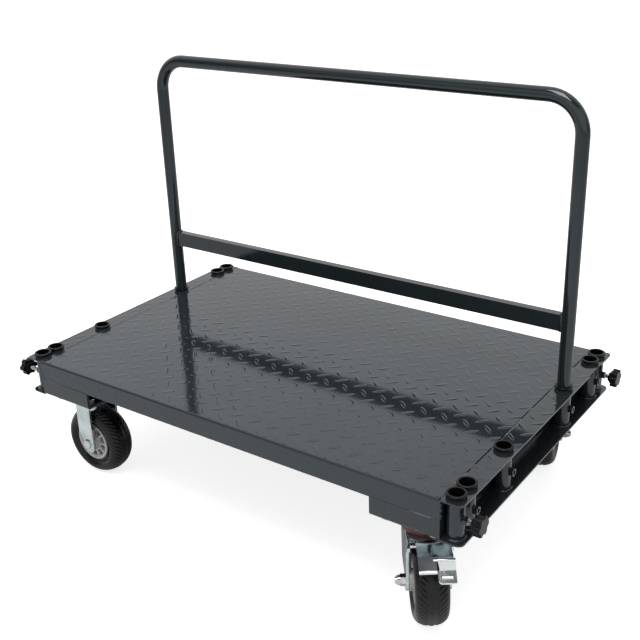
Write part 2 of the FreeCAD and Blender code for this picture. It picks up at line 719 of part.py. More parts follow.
def at_axle(thing, sign_x, sign_y, trail, heading):
    """Stand a thing drawn from a wheel's centre at the axle, which trails behind the caster's middle."""
    x = f"{sign_x} * {CASTER_X} + {trail} * cos({heading} * 1 deg)"
    y = f"{sign_y} * {CASTER_Y} + {trail} * sin({heading} * 1 deg)"
    return place(thing, x, y, "wheel_diameter / 2", heading=heading)


def axle_bolt(head_height):
    """Hexagon bolt through both legs, its head on the +Y leg and its end standing out of the lock nut."""
    shank_end = f"{FORK_OUTSIDE} + lock_nut_height + lock_nut_collar + axle_end"
    shank = rod("axle_diameter / 2", f"{FORK_OUTSIDE} + {shank_end}", y=f"-({shank_end})", axis="Y")
    return fuse(shank, hexagon("axle_head_across", head_height, y=FORK_OUTSIDE, axis="Y"))


def axle_nut():
    """Lock nut on the -Y leg: a hexagon with a round collar."""
    start, length = f"-{FORK_OUTSIDE}", "lock_nut_height + lock_nut_collar"
    body = hexagon("axle_head_across", "lock_nut_height", y=start, axis="-Y")
    collar = rod("lock_nut_collar_diameter / 2", length, y=start, axis="-Y")
    bore = rod("axle_diameter / 2 + running_fit", length, y=start, axis="-Y")
    return cut(fuse(body, collar), bore)


def mount_fasteners():
    """Bolts down through each bracket floor and caster plate, with their nuts under the plate."""
    bolts, nuts = [], []
    floor, under = f"({CASTER_HEIGHT} + bracket_thickness)", f"({CASTER_HEIGHT} - plate_thickness)"
    nut_end = f"({under} - bolt_nut_height)"
    shank_end = f"({nut_end} - bolt_end)"
    for sign_x in SIDES.values():
        for sign_y in ROWS.values():
            for along, across in bolt_places():
                x, y = f"{sign_x} * {CASTER_X} + {along}", f"{sign_y} * {CASTER_Y} + {across}"
                shank = rod("bolt_diameter / 2", f"{floor} - {shank_end}", x, y, shank_end)
                bolts.append(fuse(shank, hexagon("bolt_across", "bolt_head_height", x, y, floor)))
                bore = rod("bolt_diameter / 2 + running_fit", "bolt_nut_height", x, y, nut_end)
                nuts.append(cut(hexagon("bolt_across", "bolt_nut_height", x, y, nut_end), bore))
    keep("caster_mount_bolts", group(*bolts))
    keep("caster_mount_nuts", group(*nuts))


def swivel_head(row, sign):
    """Fixed half of a swivel caster: the plate with its pressed raceway cup, and the seal ring under it."""
    plate = Sheetwork("SwivelPlate")
    caster_plate(plate)
    cup_end = "(plate_thickness + raceway_height)"
    cup = plate.circles("XY_Plane", [("0", "0")], ["raceway_diameter"], rise="-plate_thickness")
    plate.pad(cup, "raceway_height", reversed_way=True)
    plate.round("fork_inside_radius", {"z": f"-{cup_end}"})
    hole = plate.circles("XY_Plane", [("0", "0")], ["kingpin_diameter + 2 * running_fit"])
    plate.pocket(hole, cup_end)
    keep(f"right_{row}_swivel_plate", at_caster(plate.body, 1, sign))
    seal = Sheetwork("Seal")
    inner, outer = "seal_bore / 2", "seal_diameter / 2"
    low, high = f"(slide_fit - {FORK_TOP})", f"(-{cup_end})"
    seal.turn(seal.outline("XZ_Plane", [
        (inner, low), (f"{outer} - seal_crown", low), (outer, f"({low} + {high}) / 2"),
        (f"{outer} - seal_crown", high), (inner, high)]))
    keep(f"right_{row}_swivel_seal", at_caster(seal.body, 1, sign))


def kingpins():
    """The two upright pins that the swivel forks turn on, each with a collar under the fork's web."""
    pins = []
    shank, collar = "kingpin_diameter / 2", "kingpin_collar_diameter / 2"
    collar_top = f"-({FORK_TOP} + fork_thickness + slide_fit)"
    end = f"{collar_top} - kingpin_collar_height"
    for sign in ROWS.values():
        pin = Sheetwork("Kingpin")
        pin.turn(pin.outline("XZ_Plane", [
            ("0", "0"), (shank, "0"), (shank, collar_top), (collar, collar_top), (collar, end), ("0", end)]))
        pins.append(at_caster(pin.body, 1, sign))
    keep("swivel_kingpins", group(*pins))


# The brake's points as pairs of x and z, from the top of the tyre: back as the wheel trails, and up
def from_tyre(back, rise):
    return f"(wheel_trail + {back})", f"({rise} - wheel_top_gap)"


PIVOT = from_tyre("pedal_pivot_back", "pedal_pivot_rise")
PEDAL_ROOT = from_tyre("pedal_root_back", "pedal_root_rise")
PEDAL_KNEE = from_tyre("pedal_knee_back", "pedal_knee_rise")
PEDAL_TIP = from_tyre("pedal_tip_back", "pedal_tip_rise")
EAR_OUTSIDE = "(fork_gap / 2 - slide_fit)"
TAB_X = f"({PEDAL_KNEE[0]} + tab_barrel_diameter / 2 + tab_gap)"
LIP_SLOPE = f"(({PEDAL_TIP[1]} - {PEDAL_KNEE[1]}) / ({PEDAL_TIP[0]} - {PEDAL_KNEE[0]}))"
TAB_Z = f"({PEDAL_KNEE[1]} + {LIP_SLOPE} * ({TAB_X} - {PEDAL_KNEE[0]}))"


def swivel_fork(row, sign, heading):
    """Turning half of a swivel caster: web, raked legs with lugs, and the two pins of the brake pedal."""
    top, shoulder = f"-{FORK_TOP}", f"-({FORK_TOP} + fork_shoulder)"
    lug = f"{PIVOT[0]} + 1.5 * pedal_pin_diameter"
    strip = bent_fork(FORK_TOP, "fork_front", "fork_rear + 2 * fork_tip_radius")
    legs = trimmed_fork(strip, "wheel_trail", [
        ("-fork_front", top), ("-fork_front", shoulder), ("-fork_toe", f"{AXLE_Z} + fork_toe_rise"),
        *leg_tip("wheel_trail"),
        ("fork_rear", f"{PIVOT[1]} - 3 * pedal_pin_diameter"), (lug, f"{PIVOT[1]} - pedal_pin_diameter"),
        (lug, f"{PIVOT[1]} + pedal_pin_diameter / 2"), ("fork_rear", top)])
    behind = block("2 * fork_rear", "fork_gap", "fork_rear", "2 * fork_rear", z=f"{top} - fork_rear")
    far = rod("pedal_pin_diameter / 2", f"{FORK_OUTSIDE} - {EAR_OUTSIDE} + pedal_ear_thickness",
              PIVOT[0], FORK_OUTSIDE, PIVOT[1], "-Y")
    near = rod("pedal_pin_diameter / 2", f"{FORK_OUTSIDE} - lip_left + pedal_ear_thickness",
               PIVOT[0], f"-{FORK_OUTSIDE}", PIVOT[1], "Y")
    hole = rod("kingpin_diameter / 2 + running_fit", f"2 * {FORK_TOP}", z=f"-2 * {FORK_TOP}")
    keep(f"right_{row}_swivel_fork", at_caster(cut(fuse(cut(legs, behind), far, near), hole), 1, sign, heading))


def brake_pedal(row, sign, heading):
    """Pressed foot pedal: a bent plate with a flange down each side, a rolled lip and the tab's pin."""
    root, knee, tip = PEDAL_ROOT, PEDAL_KNEE, PEDAL_TIP
    front, back = f"{PIVOT[0]} - pedal_pin_diameter", f"{PIVOT[0]} + pedal_pin_diameter"
    ear_end, deep = f"{PIVOT[1]} - pedal_pin_diameter", "-4 * wheel_top_gap"
    side = Sheetwork("PedalSide")
    side.pad(side.outline("XZ_Plane", [
        root, knee, tip, (f"{tip[0]} - lip_diameter / 2", f"{tip[1]} - lip_diameter"),
        (f"{knee[0]} - lip_diameter", f"{knee[1]} - pedal_flange"), (back, ear_end), (front, ear_end),
        (front, f"{root[1]} - pedal_thickness")]), f"2 * {EAR_OUTSIDE}", symmetric=True)
    hollow = Sheetwork("PedalHollow")
    left, right = "(lip_left - pedal_ear_thickness)", f"({EAR_OUTSIDE} - pedal_ear_thickness)"
    under = [(x, f"{z} - pedal_thickness") for x, z in (root, knee, tip)]
    hollow.pad(hollow.outline("XZ_Plane", [
        ("0", under[0][1]), *under, (tip[0], deep), ("0", deep)], rise=f"-{right}"), f"{left} + {right}")
    plan = Sheetwork("PedalPlan")
    beyond = f"{tip[0]} + pedal_thickness"
    plan.pad(plan.outline("XY_Plane", [
        (front, "-lip_left"), (beyond, "-lip_left"), (beyond, "lip_right"), (knee[0], "lip_right"),
        (knee[0], EAR_OUTSIDE), (front, EAR_OUTSIDE)], rise=deep), f"-({deep})")
    plate = doc.addObject("Part::Common", "PedalPlate")
    plate.Base = cut(side.body, hollow.body)
    plate.Tool = plan.body
    roll = rod("lip_diameter / 2", "lip_left + lip_right", tip[0], "-lip_left",
               f"{tip[1]} - pedal_thickness / 2", "Y")
    pin = rod("tab_pin_diameter / 2", "tab_width + tab_gap + lip_right", TAB_X, "0", TAB_Z, "Y")
    pedal = cut(fuse(plate, roll, pin), across_fork("pedal_pin_diameter / 2 + running_fit", *PIVOT))
    keep(f"right_{row}_brake_pedal", at_caster(pedal, 1, sign, heading))


def release_tab(row, sign, heading):
    """Bent tab on a barrel round the pedal's pin, waisted, its foot turned outwards with a pressed rib."""
    start, stop = "(lip_right + tab_gap)", "(lip_right + tab_gap + tab_width)"
    fold = (f"({TAB_X} + tab_back)", f"({TAB_Z} - tab_drop)")
    end = (f"({fold[0]} + tab_foot_back)", f"({fold[1]} - tab_foot_drop)")
    side = Sheetwork("TabSide")
    section = side.outline("XZ_Plane", [
        (TAB_X, TAB_Z), fold, end, (end[0], f"{end[1]} + tab_thickness"),
        (f"{fold[0]} + tab_thickness / 2", f"{fold[1]} + tab_thickness"),
        (f"{TAB_X} + tab_thickness", TAB_Z)], rise=f"-{stop}")
    side.pad(section, "tab_width")
    plan = Sheetwork("TabPlan")
    plan.pad(plan.outline("XY_Plane", [
        (TAB_X, start), (fold[0], f"{start} + tab_waist"), (f"{fold[0]} + tab_waist", start),
        (f"{end[0]} - tab_corner_radius", start, (-1, "tab_corner_radius")),
        (end[0], f"{start} + tab_corner_radius"), (end[0], stop), (TAB_X, stop)],
        rise="-4 * wheel_top_gap"), "4 * wheel_top_gap")
    plate = doc.addObject("Part::Common", "TabPlate")
    plate.Base = side.body
    plate.Tool = plan.body
    barrel = rod("tab_barrel_diameter / 2", "tab_width", TAB_X, start, TAB_Z, "Y")
    rib = rod("tab_rib_diameter / 2", "tab_width - 2 * tab_corner_radius", f"({fold[0]} + {end[0]}) / 2",
              f"{start} + tab_corner_radius", f"({fold[1]} + {end[1]}) / 2", "Y")
    tab = cut(fuse(plate, barrel, rib), across_fork("tab_pin_diameter / 2 + running_fit", TAB_X, TAB_Z))
    keep(f"right_{row}_brake_release_tab", at_caster(tab, 1, sign, heading))


def brake_shoe(row, sign, heading):
    """Rubber block under the pedal, above the tread."""
    root, knee = PEDAL_ROOT, PEDAL_KNEE
    slope = f"(({knee[1]} - {root[1]}) / ({knee[0]} - {root[0]}))"
    front = "(wheel_trail + shoe_back)"
    corners = []
    for x, drop in ((front, "0"), (f"({front} + shoe_length)", "0"),
                    (f"({front} + shoe_length)", "shoe_thickness"), (front, "shoe_thickness")):
        corners.append((x, f"{root[1]} + {slope} * ({x} - {root[0]}) - pedal_thickness - {drop}"))
    shoe = Sheetwork("Shoe")
    shoe.pad(shoe.outline("XZ_Plane", corners), "shoe_width", symmetric=True)
    keep(f"right_{row}_brake_shoe", at_caster(shoe.body, 1, sign, heading))


deck_plate()
for side, sign_x in SIDES.items():
    end_channel(side, sign_x)
    socket_tubes(side, sign_x)
    socket_bushes(side, sign_x)
    weld_nuts(side, sign_x)
for row, sign_y in ROWS.items():
    stiffener(row, sign_y)
for side, sign_x in SIDES.items():
    for row, sign_y in ROWS.items():
        caster_bracket(side, row, sign_x, sign_y)
        clamp_screw(side, row, sign_x, sign_y)
push_bar()
crossbar()
mount_fasteners()
for row, sign_y in ROWS.items():
    rigid_fork(row, sign_y)
    wheel("left", row, -1, sign_y, "0", "0")
bolts = [at_axle(axle_bolt("rigid_head_height"), -1, sign_y, "0", "180") for sign_y in ROWS.values()]
nuts = [at_axle(axle_nut(), -1, sign_y, "0", "180") for sign_y in ROWS.values()]
keep("rigid_axle_bolts", group(*bolts))
keep("rigid_axle_nuts", group(*nuts))
kingpins()
for row, sign_y in ROWS.items():
    heading = f"{row}_heading"
    swivel_head(row, sign_y)
    swivel_fork(row, sign_y, heading)
    wheel("right", row, 1, sign_y, "wheel_trail", heading)
    for name, thing in (("bolt", axle_bolt("axle_head_height")), ("nut", axle_nut())):
        keep(f"right_{row}_axle_{name}", at_axle(thing, 1, sign_y, "wheel_trail", heading))
    brake_pedal(row, sign_y, heading)
    release_tab(row, sign_y, heading)
    brake_shoe(row, sign_y, heading)

doc.recompute()
faulty = [thing.Label for thing in doc.Objects if {"Invalid", "Error"} & set(thing.State)]
faulty += [label for label, thing in pieces.items() if thing.Shape.isNull() or not thing.Shape.isValid()]
if faulty:
    raise RuntimeError("these came out wrong: " + ", ".join(faulty))
os.makedirs("parts", exist_ok=True)
for label, thing in pieces.items():
    thing.Shape.exportStep(f"parts/{label}.step")
print(len(pieces), "sub-parts written")
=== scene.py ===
import json
import math

import bmesh
import bpy
from mathutils import Matrix, Vector


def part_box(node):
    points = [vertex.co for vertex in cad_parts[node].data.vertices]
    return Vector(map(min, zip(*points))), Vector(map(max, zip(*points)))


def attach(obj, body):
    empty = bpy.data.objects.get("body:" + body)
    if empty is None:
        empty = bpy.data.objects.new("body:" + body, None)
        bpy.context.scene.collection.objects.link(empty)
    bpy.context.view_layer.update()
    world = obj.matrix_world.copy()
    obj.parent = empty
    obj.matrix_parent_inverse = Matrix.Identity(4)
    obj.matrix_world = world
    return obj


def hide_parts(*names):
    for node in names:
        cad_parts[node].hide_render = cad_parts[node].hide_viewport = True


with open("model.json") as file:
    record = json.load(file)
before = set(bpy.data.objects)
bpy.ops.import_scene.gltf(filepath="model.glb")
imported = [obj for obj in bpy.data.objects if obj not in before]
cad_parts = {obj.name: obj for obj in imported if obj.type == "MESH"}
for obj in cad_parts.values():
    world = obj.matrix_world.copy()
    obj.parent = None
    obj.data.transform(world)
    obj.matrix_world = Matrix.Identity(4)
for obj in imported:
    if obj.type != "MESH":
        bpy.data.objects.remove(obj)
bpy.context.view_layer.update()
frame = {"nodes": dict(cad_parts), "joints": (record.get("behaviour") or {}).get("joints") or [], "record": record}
nodes = frame["nodes"]


# Deck: one sheet of steel tread plate, its long edges bent down into skirts, under glossy
# grey-blue enamel. The enamel is thick, so it softens the lozenges and shows slight orange peel.
class Signal:
    """A shader socket: sums on it add Math nodes, and make() adds any other node beside it."""

    MIX_FROM, MIX_TO, MIX_RESULT = 6, 7, 2

    def __init__(self, tree, socket=None):
        self.tree, self.socket = tree, socket

    def make(self, kind, settings=None, inputs=None, output=0):
        node = self.tree.nodes.new(kind)
        for name, value in (settings or {}).items():
            setattr(node, name, value)
        for name, value in (inputs or {}).items():
            if isinstance(value, Signal):
                self.tree.links.new(value.socket, node.inputs[name])
            else:
                node.inputs[name].default_value = value
        return Signal(self.tree, node.outputs[output])

    def math(self, operation, *others):
        return self.make("ShaderNodeMath", {"operation": operation}, dict(enumerate((self, *others))))

    def __add__(self, other):
        return self.math("ADD", other)

    def __mul__(self, other):
        return self.math("MULTIPLY", other)

    def __rsub__(self, other):
        return (self * -1).math("ADD", other)

    __radd__ = __add__
    __rmul__ = __mul__

    def steps(self, low, high):
        """From 0 at low to 1 at high, smoothly."""
        return self.make("ShaderNodeMapRange", {"interpolation_type": "SMOOTHSTEP", "clamp": True},
                         {"Value": self, "From Min": low, "From Max": high})

    def noise(self, scale, detail=2.0, roughness=0.5):
        return self.make("ShaderNodeTexNoise", None,
                         {"Vector": self, "Scale": scale, "Detail": detail, "Roughness": roughness})

    def between(self, dark, light):
        """A colour from dark to light as the signal goes from 0 to 1."""
        return self.make("ShaderNodeMix", {"data_type": "RGBA"},
                         {"Factor": self, self.MIX_FROM: (*dark, 1), self.MIX_TO: (*light, 1)},
                         output=self.MIX_RESULT)


class Finish:
    """A material with one Principled shader; constants go straight on its sockets."""

    def __init__(self, name, **constants):
        self.material = bpy.data.materials.new(name)
        self.material.use_nodes = True
        self.tree = self.material.node_tree
        self.shader = self.tree.nodes["Principled BSDF"]
        for label, value in constants.items():
            self.shader.inputs[label.replace("_", " ")].default_value = value
        self.at = Signal(self.tree).make("ShaderNodeTexCoord", output="Object")

    def feed(self, **signals):
        for label, signal in signals.items():
            self.tree.links.new(signal.socket, self.shader.inputs[label.replace("_", " ")])
        return self

    def bump(self, height, distance):
        normal = self.at.make("ShaderNodeBump", None, {"Height": height, "Distance": distance})
        return self.feed(Normal=normal)

    def wear(self, *names):
        for name in names:
            nodes[name].data.materials.clear()
            nodes[name].data.materials.append(self.material)
        return self


ENAMEL_TINT, ENAMEL_IOR, ENAMEL_ROUGHNESS = (0.925, 1.015, 1.07, 1), 1.52, 0.06
CLOUD_SCALE, CLOUD_DULLING = 5.0, 0.03
DUST_SCALE, DUST_DULLING = 160.0, 0.05
PEEL_SCALE, PEEL_HEIGHT = 260.0, 0.000035
WAVE_SCALE, WAVE_HEIGHT = 5.5, 0.0011


def enamel(name, dark, light, roughness=ENAMEL_ROUGHNESS):
    """Glossy enamel on rolled steel: cloudy colour, dust in the gloss, orange peel and long waves."""
    finish = Finish(name, IOR=ENAMEL_IOR, Specular_Tint=ENAMEL_TINT)
    clouds = finish.at.noise(CLOUD_SCALE, detail=3.0)
    dust = finish.at.noise(DUST_SCALE, detail=4.0, roughness=0.65).steps(low=0.45, high=0.75)
    finish.feed(Base_Color=clouds.steps(low=0.3, high=0.7).between(dark, light),
                Roughness=roughness + DUST_DULLING * dust + CLOUD_DULLING * clouds)
    peel = finish.at.noise(PEEL_SCALE) * PEEL_HEIGHT
    waves = finish.at.noise(WAVE_SCALE, detail=1.0) * WAVE_HEIGHT
    return finish.bump(peel + waves, distance=1.0)


DECK_DARK, DECK_LIGHT = (0.0152, 0.0205, 0.0250), (0.0192, 0.0252, 0.0300)
deck_enamel = enamel("deck_enamel", DECK_DARK, DECK_LIGHT).wear("deck_plate")


# Tread: raised lozenges rolled into the plate, in two directions turn about. They run on over
# the bend into the skirts and over the top flanges of the end channels.
LOZENGE_STEP = 0.0424
LOZENGE_LENGTH, LOZENGE_WIDTH, LOZENGE_HEIGHT = 0.029, 0.0084, 0.00032
LOZENGE_RINGS = ((1.0, 1.0, 0.0), (0.92, 0.74, 0.5), (0.84, 0.5, 0.88), (0.78, 0.32, 1.0))
LOZENGE_SEGMENTS = 12
TREAD_START = Vector((0.3429, -0.0836))
EDGE_ROUND, EDGE_CLEAR = 0.004, 0.001
SKIRT_FLATTENING = 0.5
ROWS = {"front": -1, "rear": 1}
deck_low, deck_high = (Vector(corner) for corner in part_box("deck_plate"))


def make_piece(name, mesh, body, finish):
    """A finished mesh as a piece of the object that rides on a body."""
    bmesh.ops.recalc_face_normals(mesh, faces=mesh.faces)
    data = bpy.data.meshes.new(name)
    mesh.to_mesh(data)
    mesh.free()
    for face in data.polygons:
        face.use_smooth = True
    data.materials.append(finish.material)
    piece = bpy.data.objects.new(name, data)
    bpy.context.scene.collection.objects.link(piece)
    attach(piece, body)
    return piece


def lozenge(mesh, turn):
    """One raised lozenge: an oval foot drawn up and in to a flat back, ring by ring."""
    for length, width, rise in LOZENGE_RINGS:
        ring = bmesh.ops.create_circle(mesh, segments=LOZENGE_SEGMENTS, radius=0.5)["verts"]
        bmesh.ops.scale(mesh, vec=(LOZENGE_LENGTH * length, LOZENGE_WIDTH * width, 1), verts=ring)
        bmesh.ops.translate(mesh, vec=(0, 0, LOZENGE_HEIGHT * rise), verts=ring)
    back = [edge for edge in mesh.edges if edge.verts[0] in ring]
    bmesh.ops.bridge_loops(mesh, edges=mesh.edges[:])
    bmesh.ops.edgeloop_fill(mesh, edges=back)
    bmesh.ops.rotate(mesh, matrix=Matrix.Rotation(turn, 3, "Z"), verts=mesh.verts)


def tread_patch(low, high, clear=(), clear_radius=0.0):
    """A flat patch of tread between two corners, cut off at its edges and bare round some spots."""
    mesh = bmesh.new()
    single = bmesh.new()
    data = bpy.data.meshes.new("lozenge")
    for turn, shift in ((-math.pi / 4, 0.0), (math.pi / 4, LOZENGE_STEP / 2)):
        lozenge(single, turn)
        single.to_mesh(data)
        single.clear()
        start = TREAD_START + Vector((shift, -shift))
        first = [math.floor((low[axis] - start[axis]) / LOZENGE_STEP) for axis in (0, 1)]
        last = [math.ceil((high[axis] - start[axis]) / LOZENGE_STEP) for axis in (0, 1)]
        for column in range(first[0], last[0] + 1):
            for line in range(first[1], last[1] + 1):
                place = start + Vector((column, line)) * LOZENGE_STEP
                if any((place - spot).length < clear_radius for spot in clear):
                    continue
                mesh.from_mesh(data)
                mesh.verts.ensure_lookup_table()
                fresh = mesh.verts[-len(data.vertices):]
                bmesh.ops.translate(mesh, vec=(*place, 0), verts=fresh)
    bpy.data.meshes.remove(data)
    single.free()
    for corner, sign in ((low, -1), (high, 1)):
        for axis in (0, 1):
            outwards = [0, 0, 0]
            outwards[axis] = sign
            everything = mesh.verts[:] + mesh.edges[:] + mesh.faces[:]
            bmesh.ops.bisect_plane(mesh, geom=everything, plane_co=(*corner, 0), plane_no=outwards,
                                   clear_outer=True)
    return mesh


def folded_down(mesh, fold_y, sign):
    """Turn a patch that runs past a fold line down over the fold, onto a skirt."""
    fold = Matrix.Translation((0, sign * fold_y, deck_high.z)) @ Matrix.Rotation(-sign * math.pi / 2, 4, "X")
    bmesh.ops.transform(mesh, matrix=fold @ Matrix.Translation((0, -sign * fold_y, 0)), verts=mesh.verts)


margin = EDGE_ROUND + EDGE_CLEAR
top_patch = tread_patch((deck_low.x, deck_low.y + margin), (deck_high.x, deck_high.y - margin))
bmesh.ops.translate(top_patch, vec=(0, 0, deck_high.z), verts=top_patch.verts)
make_piece("deck_tread_top", top_patch, "frame", deck_enamel)
skirt_height = deck_high.z - deck_low.z
for row, sign in ROWS.items():
    reach = sorted((sign * (deck_high.y + margin), sign * (deck_high.y + skirt_height)))
    skirt_patch = tread_patch((deck_low.x, reach[0]), (deck_high.x, reach[1]))
    bmesh.ops.scale(skirt_patch, vec=(1, 1, SKIRT_FLATTENING), verts=skirt_patch.verts)
    folded_down(skirt_patch, deck_high.y, sign)
    make_piece(f"deck_tread_{row}_skirt", skirt_patch, "frame", deck_enamel)


# End channels: bent steel, open outwards, welded to the deck's ends by stitches that leave dark
# slits between them; their top flanges carry the tread too.
SIDES = {"left": -1, "right": 1}
FRAME_DARK, FRAME_LIGHT = (0.0135, 0.0178, 0.0205), (0.018, 0.0225, 0.0253)
frame_enamel = enamel("frame_enamel", FRAME_DARK, FRAME_LIGHT)
frame_enamel.wear("left_end_channel", "right_end_channel")
screw_places = [joint["pos_m"] for joint in frame["joints"] if joint["name"].endswith("_knob_turn")]
socket_x = max(place[0] for place in screw_places)
outer_socket = max(place[1] for place in screw_places)
mounts = {mount["name"]: mount for mount in frame["record"]["mounts"]}
inner_socket = abs(mounts["left_front_inner_socket"]["pos_m"][1])
single_socket = abs(mounts["left_front_single_socket"]["pos_m"][1])
socket_rows = [sign * offset for offset in (outer_socket, inner_socket, single_socket) for sign in (-1, 1)]
FLANGE_SIDE_CLEAR, FLANGE_END_CLEAR, BUSH_CLEAR = 0.001, 0.002, 0.026
BEAD_SEGMENTS, BEAD_RINGS = 10, 8
SEAM_WELD, SEAM_OUT, SEAM_SUNK = 0.0034, 0.4, 0.85
STITCHES = {
    "left": ((-0.309, -0.243), (-0.228, 0.070), (0.101, 0.136), (0.182, 0.207), (0.242, 0.309)),
    "right": ((-0.309, -0.223), (-0.211, -0.193), (-0.135, -0.102), (0.012, 0.030), (0.106, 0.220),
              (0.252, 0.309)),
}
CORNER_BEADS = (0.0036, 0.0028, 0.0039, 0.0027, 0.0035, 0.0030)
CORNER_BEAD_TOP, CORNER_BEAD_STEP, CORNER_BEAD_IN, CORNER_BEAD_OUT = 0.010, 0.0052, 0.0035, 0.5
CORNER_BEAD_RINGS = 7


def weld_bead(mesh, start, stop, radius):
    """A straight run of weld: a round bead with puddled ends."""
    start, stop = Vector(start), Vector(stop)
    bead = bmesh.ops.create_uvsphere(mesh, u_segments=BEAD_SEGMENTS, v_segments=BEAD_RINGS,
                                     radius=radius)["verts"]
    half = (stop - start).length / 2 - radius
    for corner in bead:
        corner.co.z += math.copysign(half, corner.co.z) if abs(corner.co.z) > 1e-6 else 0
    turn = Vector((0, 0, 1)).rotation_difference(stop - start).to_matrix()
    bmesh.ops.rotate(mesh, matrix=turn, verts=bead)
    bmesh.ops.translate(mesh, vec=(start + stop) / 2, verts=bead)


for side, sign in SIDES.items():
    low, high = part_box(f"{side}_end_channel")
    edges = sorted((sign * (deck_high.x + EDGE_ROUND), high[0] if sign > 0 else low[0]))
    flange_patch = tread_patch((edges[0] + FLANGE_SIDE_CLEAR, low[1] + FLANGE_END_CLEAR),
                               (edges[1] - FLANGE_SIDE_CLEAR, high[1] - FLANGE_END_CLEAR),
                               [Vector((sign * socket_x, y)) for y in socket_rows], BUSH_CLEAR)
    bmesh.ops.translate(flange_patch, vec=(0, 0, high[2]), verts=flange_patch.verts)
    make_piece(f"{side}_flange_tread", flange_patch, "frame", frame_enamel)
    seam = bmesh.new()
    x, z = sign * (deck_high.x + SEAM_WELD * SEAM_OUT), deck_high.z - SEAM_WELD * SEAM_SUNK
    for start, stop in STITCHES[side]:
        weld_bead(seam, (x, start, z), (x, stop, z), SEAM_WELD)
    make_piece(f"{side}_seam_welds", seam, "frame", frame_enamel)
    corner_welds = bmesh.new()
    for turn in ROWS.values():
        for index, radius in enumerate(CORNER_BEADS):
            bead = bmesh.ops.create_uvsphere(corner_welds, u_segments=BEAD_SEGMENTS,
                                             v_segments=CORNER_BEAD_RINGS, radius=radius)["verts"]
            place = (sign * (deck_high.x + radius * CORNER_BEAD_OUT), turn * (deck_high.y - CORNER_BEAD_IN),
                     deck_high.z - CORNER_BEAD_TOP - index * CORNER_BEAD_STEP)
            bmesh.ops.translate(corner_welds, vec=place, verts=bead)
    make_piece(f"{side}_corner_welds", corner_welds, "frame", frame_enamel)


# Stiffeners and caster brackets: bent steel welded under the deck. Each bracket's front plate
# meets the skirt along a thin weld that turns up at its outer end.
frame_enamel.wear("front_stiffener", "rear_stiffener")
SKIRT_WELD, SKIRT_WELD_SUNK, WELD_TURN = 0.0017, 0.3, 0.009
WELD_TURN_STEPS = (0, math.pi / 6, math.pi / 3, math.pi / 2)
for side, sign in SIDES.items():
    for row, turn in ROWS.items():
        bracket = f"{side}_{row}_caster_bracket"
        frame_enamel.wear(bracket)
        low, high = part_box(bracket)
        line = bmesh.new()
        y = turn * (deck_high.y - SKIRT_WELD * SKIRT_WELD_SUNK)
        inner = high[0] if side == "left" else low[0]
        bend_x = sign * (deck_high.x - SKIRT_WELD) - sign * WELD_TURN
        weld_bead(line, (inner, y, deck_low.z), (bend_x, y, deck_low.z), SKIRT_WELD)
        corners = [(bend_x + sign * WELD_TURN * math.sin(angle), y,
                    deck_low.z + WELD_TURN - WELD_TURN * math.cos(angle)) for angle in WELD_TURN_STEPS]
        for start, stop in zip(corners, corners[1:]):
            weld_bead(line, start, stop, SKIRT_WELD)
        make_piece(f"{bracket}_weld", line, "frame", frame_enamel)


# Sockets: steel tubes through the top flange, welded round their foot on the bottom flange,
# each lined with a black flanged plastic bush and carrying a weld nut on its outer side.
FOOT_WELD, FOOT_OUT, FOOT_SEGMENTS, FOOT_STEPS = 0.0022, 0.0008, 8, 36
FOOT_RIPPLE = (1.15, 0.85, 1.3, 0.95, 1.05, 0.75)
BUSH_DARK, BUSH_LIGHT = (0.003, 0.003, 0.003), (0.006, 0.006, 0.006)
MOULDED_IOR = 1.5


def moulded(name, dark, light, scale, roughness, spread, relief=0.0, **constants):
    """Moulded plastic or rubber: the mould's grain in its colour, its gloss and its relief."""
    finish = Finish(name, IOR=MOULDED_IOR, **constants)
    grain = finish.at.noise(scale, detail=3.0)
    finish.feed(Base_Color=grain.between(dark, light), Roughness=roughness + spread * grain)
    return finish.bump(grain, relief) if relief else finish


bush_plastic = moulded("bush_plastic", BUSH_DARK, BUSH_LIGHT, scale=900.0, roughness=0.16, spread=0.12,
                       relief=0.00003, Specular_IOR_Level=0.17)
for side, sign in SIDES.items():
    frame_enamel.wear(f"{side}_socket_tubes", f"{side}_weld_nuts")
    bush_plastic.wear(f"{side}_socket_bushes")
    tube_low, tube_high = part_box(f"{side}_socket_tubes")
    foot_radius = (tube_high[0] - tube_low[0]) / 2 + FOOT_OUT
    feet = bmesh.new()
    for y in socket_rows:
        foot = Vector((sign * socket_x, y, tube_low[2]))
        bead = bmesh.ops.create_circle(feet, segments=FOOT_SEGMENTS, radius=FOOT_WELD)["verts"]
        bmesh.ops.rotate(feet, matrix=Matrix.Rotation(math.pi / 2, 3, "X"), verts=bead)
        bmesh.ops.translate(feet, vec=foot + Vector((foot_radius, 0, 0)), verts=bead)
        loop = list(dict.fromkeys(edge for corner in bead for edge in corner.link_edges))
        bmesh.ops.spin(feet, geom=bead + loop, cent=foot, axis=(0, 0, 1), angle=2 * math.pi, steps=FOOT_STEPS,
                       use_merge=True)
        feet.verts.ensure_lookup_table()
        for corner in feet.verts[-FOOT_STEPS * FOOT_SEGMENTS:]:
            angle = math.atan2(corner.co.y - y, corner.co.x - foot.x)
            swell = FOOT_RIPPLE[round(angle / (2 * math.pi) * FOOT_STEPS) % len(FOOT_RIPPLE)]
            heart = foot + Vector((math.cos(angle), math.sin(angle), 0)) * foot_radius
            corner.co = heart + (corner.co - heart) * swell
    make_piece(f"{side}_socket_foot_welds", feet, "frame", frame_enamel)


